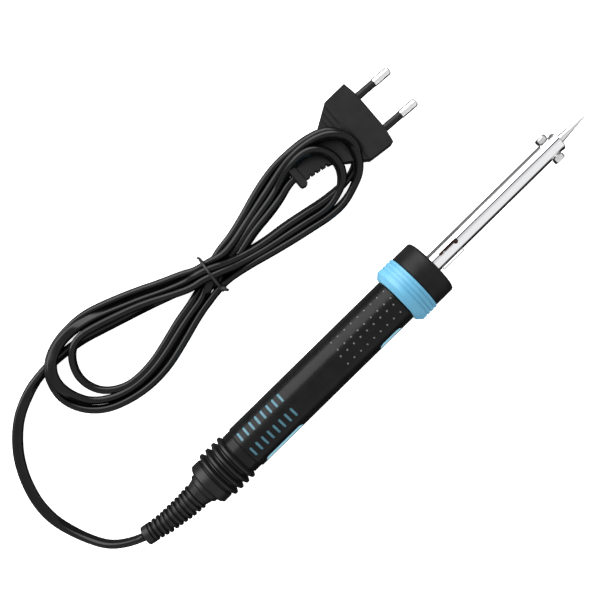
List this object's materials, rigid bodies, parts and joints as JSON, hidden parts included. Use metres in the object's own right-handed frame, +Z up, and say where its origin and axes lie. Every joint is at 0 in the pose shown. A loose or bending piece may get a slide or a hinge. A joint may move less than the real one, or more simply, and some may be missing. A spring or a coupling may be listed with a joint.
{
  "type": "soldering iron",
  "caption": "Pencil soldering iron with a clamped conical tip, heated barrel, ribbed handle and a tied flat cord with a two-pole plug.",
  "frame": {"origin": "on the surface the iron lies on, under the middle of its length from tip to strain relief", "axes": "+X along the iron towards the tip, +Y to the side where the cord lies, +Z up"},
  "size_m": [0.2998, 0.1101, 0.0287],
  "materials": {
    "tip_plating": "bright plated copper tip",
    "barrel_chrome": "bright drawn tube",
    "turned_steel": "turned steel",
    "screw_steel": "zinc plated steel",
    "mica": "mica sheet",
    "heater_wire": "resistance wire",
    "ceramic_white": "unglazed ceramic",
    "glass_sleeve": "woven glass sleeve",
    "ring_black": "satin black moulding",
    "sky_collar": "satin sky blue moulding",
    "sky_core": "satin sky blue moulding",
    "shell_black": "satin black shell",
    "terminal_white": "moulded terminal block",
    "terminal_brass": "brass terminal barrels",
    "clamp_fibre": "fibre cord clamp",
    "cord_sheath": "smooth black cord sheath",
    "conductor_sheath": "insulated conductors",
    "cap_black": "satin black moulding",
    "relief_rubber": "soft black boot",
    "tie_sleeve": "plastic covered wire",
    "plug_black": "matt black moulding",
    "pin_nickel": "nickel plated brass pins",
    "pin_sleeve_black": "moulded pin sleeves"
  },
  "bodies": {
    "iron": {"barrel_tube": "barrel_chrome", "tip_bush": "turned_steel", "tip_screw_washers": "screw_steel", "heater_core_tube": "turned_steel", "mica_former": "mica", "heater_winding": "heater_wire", "mica_wrap": "mica", "rear_ceramic_bush": "ceramic_white", "lead_sleeve_live": "glass_sleeve", "lead_sleeve_neutral": "glass_sleeve", "lead_wires": "heater_wire", "barrel_flange": "turned_steel", "flange_screws": "screw_steel", "blue_collar": "sky_collar", "handle_core": "sky_core", "handle_shell": "shell_black", "terminal_block": "terminal_white", "terminal_inserts": "terminal_brass", "terminal_screws": "screw_steel", "clamp_base": "clamp_fibre", "clamp_bar": "clamp_fibre", "clamp_screws": "screw_steel", "cord_tail": "cord_sheath", "cord_conductors": "conductor_sheath", "rear_cap": "cap_black", "strain_relief": "relief_rubber", "cord_lead": "cord_sheath", "cord_hank": "cord_sheath", "cord_tie": "tie_sleeve", "plug_body": "plug_black", "plug_boot": "plug_black", "plug_pin_live": "pin_nickel", "plug_pin_neutral": "pin_nickel", "pin_sleeve_live": "pin_sleeve_black", "pin_sleeve_neutral": "pin_sleeve_black"},
    "tip": {"soldering_tip": "tip_plating"},
    "screw_left": {"tip_screw_left": "screw_steel"},
    "screw_right": {"tip_screw_right": "screw_steel"},
    "ring": {"front_ring": "ring_black"}
  },
  "joints": [
    {"name": "tip_slide", "type": "slide", "parent": "iron", "child": "tip", "axis": [1, 0, 0], "range_m": [-0.008, 0.05]},
    {"name": "screw_left_turn", "type": "hinge", "parent": "iron", "child": "screw_left", "pos_m": [0.1118, 0, 0.01435], "axis": [0, 1, 0], "range_deg": [0, 720]},
    {"name": "screw_right_turn", "type": "hinge", "parent": "iron", "child": "screw_right", "pos_m": [0.1118, 0, 0.01435], "axis": [0, -1, 0], "range_deg": [0, 720]},
    {"name": "ring_turn", "type": "hinge", "parent": "iron", "child": "ring", "pos_m": [0.03, 0, 0.01435], "axis": [1, 0, 0], "range_deg": [0, 720]}
  ]
}
